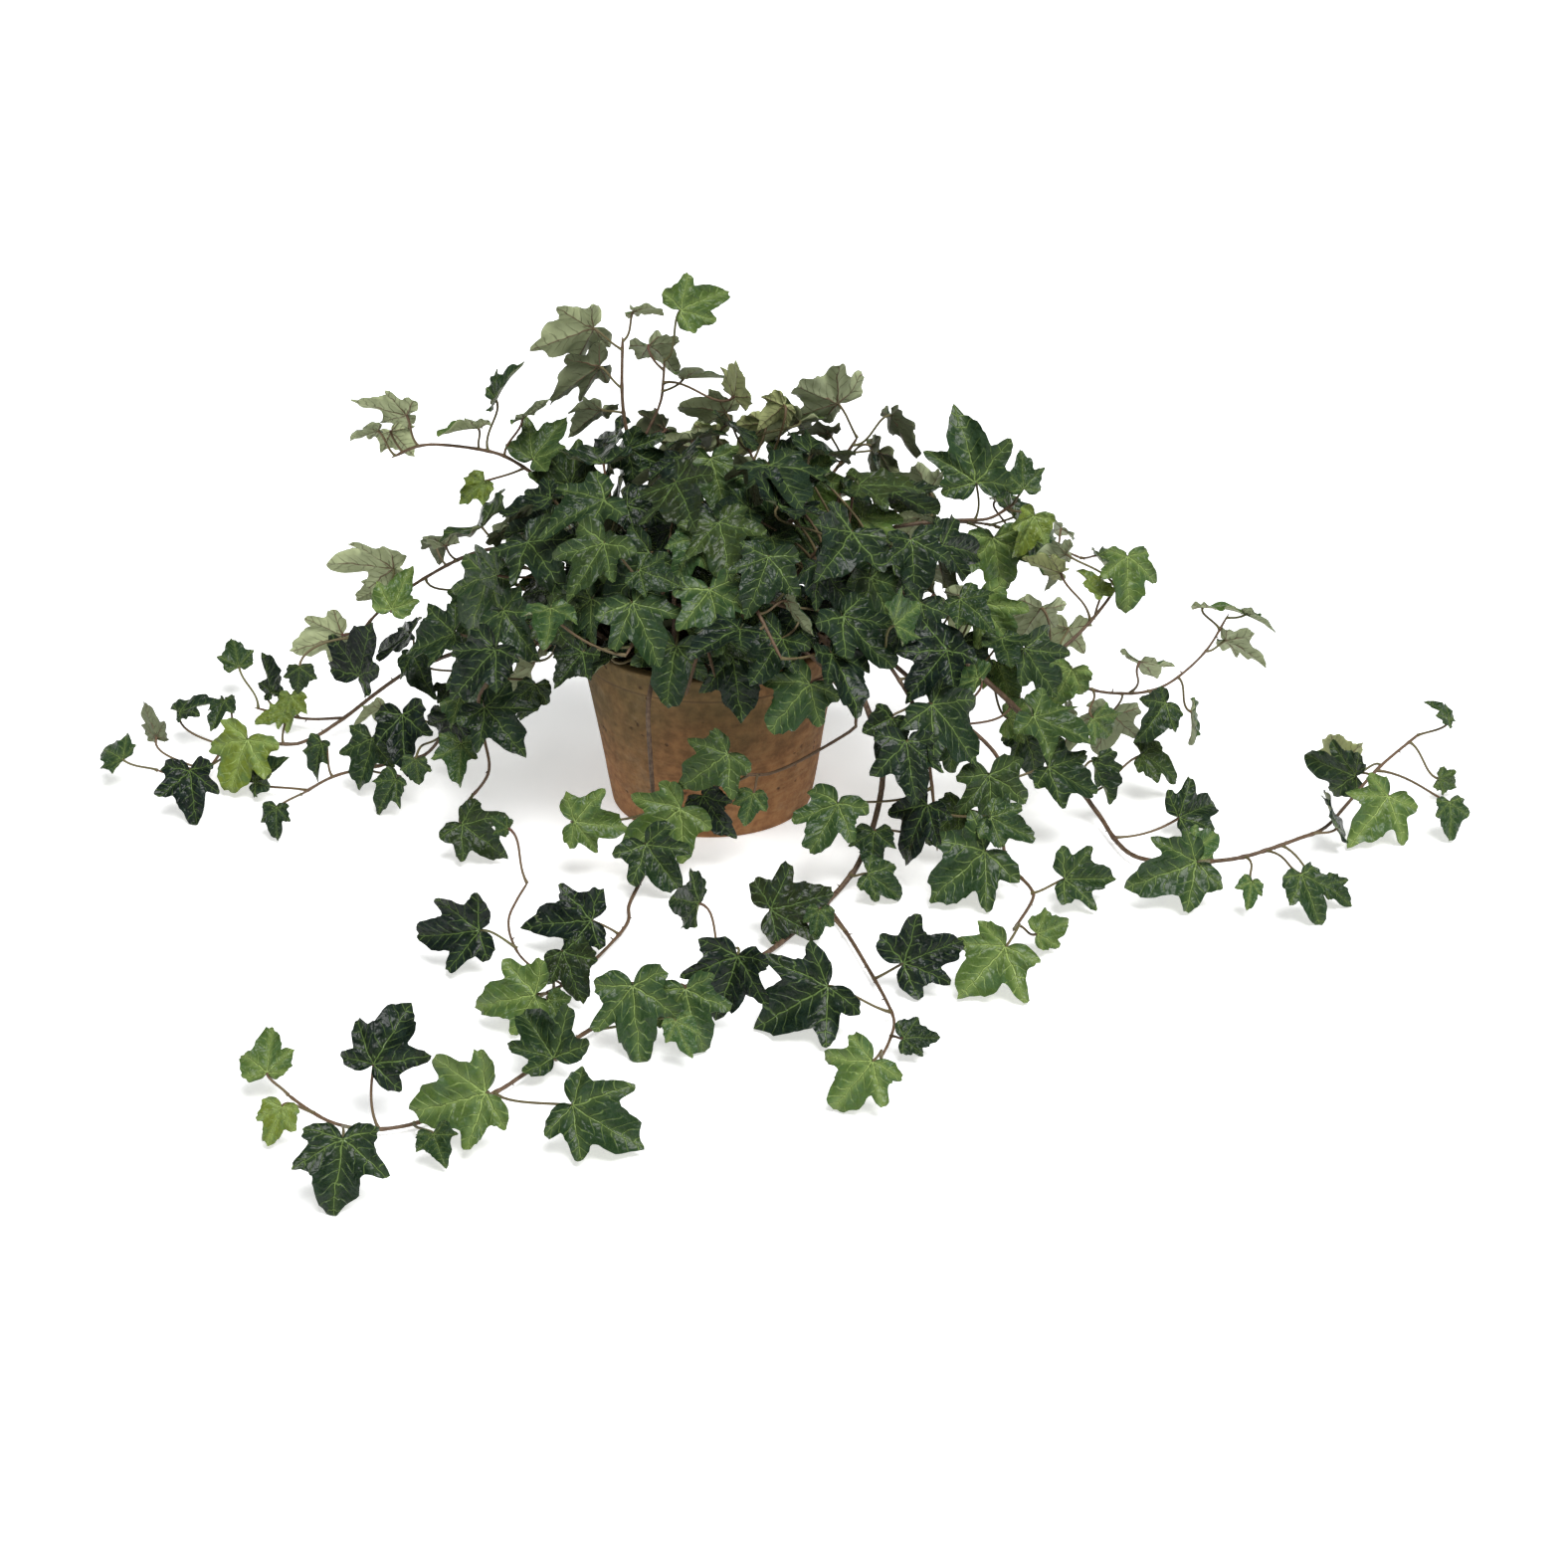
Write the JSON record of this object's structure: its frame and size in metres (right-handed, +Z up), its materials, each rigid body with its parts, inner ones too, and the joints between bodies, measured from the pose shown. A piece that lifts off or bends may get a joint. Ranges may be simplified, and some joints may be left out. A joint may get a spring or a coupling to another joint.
{
  "type": "potted ivy",
  "caption": "Ivy in a tapered terracotta pot: lobed leaves crowd over the rim and long vines trail down and lie along the surface around it.",
  "frame": {"origin": "centre of the pot's flat underside", "axes": "+Z up along the pot's axis, -Y toward the front where the longest vine trails, +X to the right"},
  "size_m": [0.9428, 0.7175, 0.3375],
  "materials": {
    "terracotta": "matte",
    "soil": "matte",
    "ivy": "satin"
  },
  "bodies": {
    "root": {"pot": "terracotta", "soil": "soil", "vine_front": "ivy", "vine_front_left": "ivy", "vine_front_right": "ivy", "vine_right_long": "ivy", "vine_right_upper": "ivy", "vine_right_back": "ivy", "vine_top_right": "ivy", "vine_top": "ivy", "vine_left_upper": "ivy", "vine_left_middle": "ivy", "vine_left_long": "ivy", "vine_left_low": "ivy", "vine_left_front": "ivy", "vine_pot_front": "ivy", "vine_crown_front": "ivy", "vine_right_front": "ivy", "crown_shoot_01": "ivy", "crown_shoot_02": "ivy", "crown_shoot_03": "ivy", "crown_shoot_04": "ivy", "crown_shoot_05": "ivy", "crown_shoot_06": "ivy", "crown_shoot_07": "ivy", "crown_shoot_08": "ivy", "crown_shoot_09": "ivy", "crown_shoot_10": "ivy", "crown_shoot_11": "ivy", "crown_shoot_12": "ivy", "crown_shoot_13": "ivy", "crown_shoot_14": "ivy", "crown_shoot_15": "ivy", "crown_shoot_16": "ivy"}
  },
  "joints": []
}
